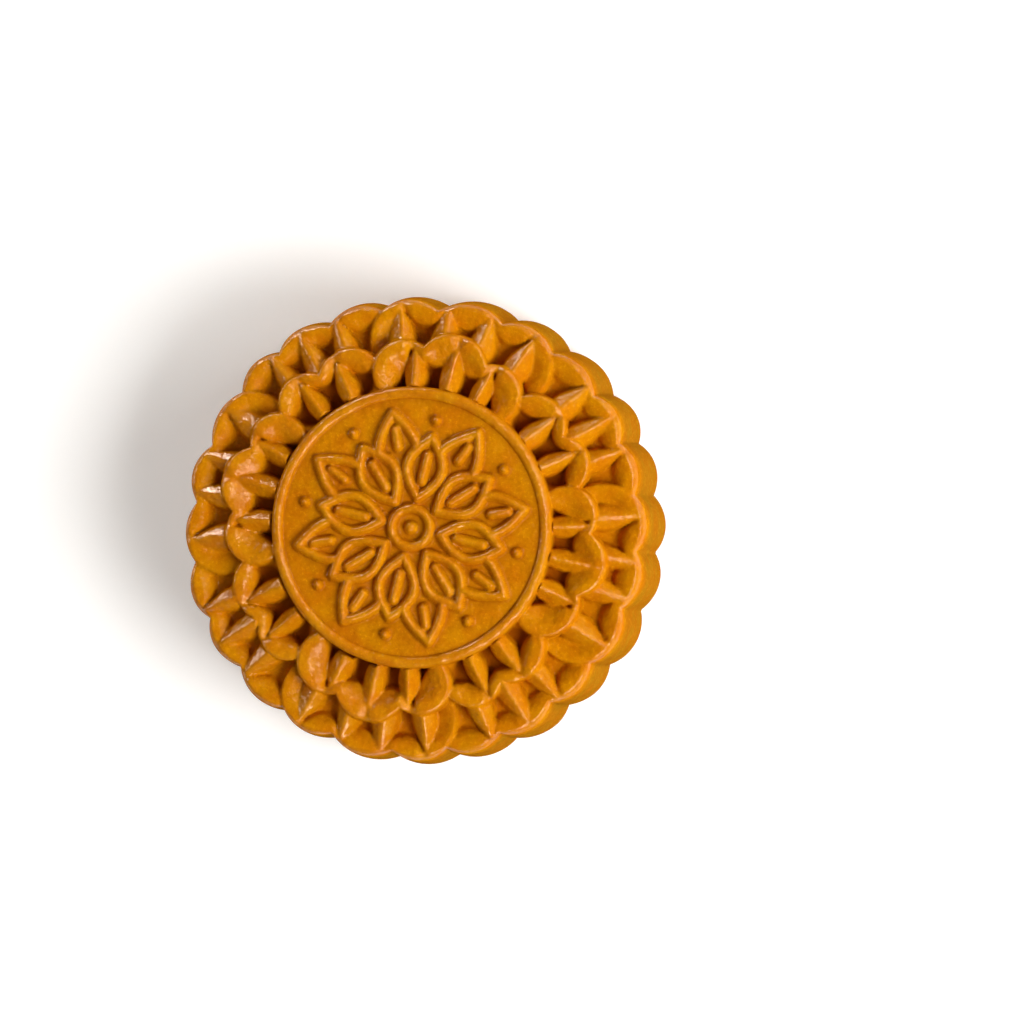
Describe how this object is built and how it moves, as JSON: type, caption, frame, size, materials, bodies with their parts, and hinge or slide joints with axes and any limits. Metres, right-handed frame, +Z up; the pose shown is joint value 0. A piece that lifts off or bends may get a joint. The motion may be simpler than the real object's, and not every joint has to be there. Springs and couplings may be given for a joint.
{
  "type": "mung bean mooncake",
  "caption": "Whole round baked mooncake: a fluted drum of golden dough whose top is pressed with two terraced rings of petals round a raised lotus medallion.",
  "frame": {"origin": "the middle of the flat base, where the cake's axis meets the table", "axes": "+Z up along the cake's axis, out of the patterned top; the middles of the four wide petal fans lie close to +X, +Y, -X and -Y"},
  "size_m": [0.079, 0.0788, 0.0336],
  "materials": {
    "crust": "baked golden-brown dough with an egg-wash sheen, darker in the pressed hollows"
  },
  "bodies": {
    "root": {"mooncake": "crust"}
  },
  "joints": []
}
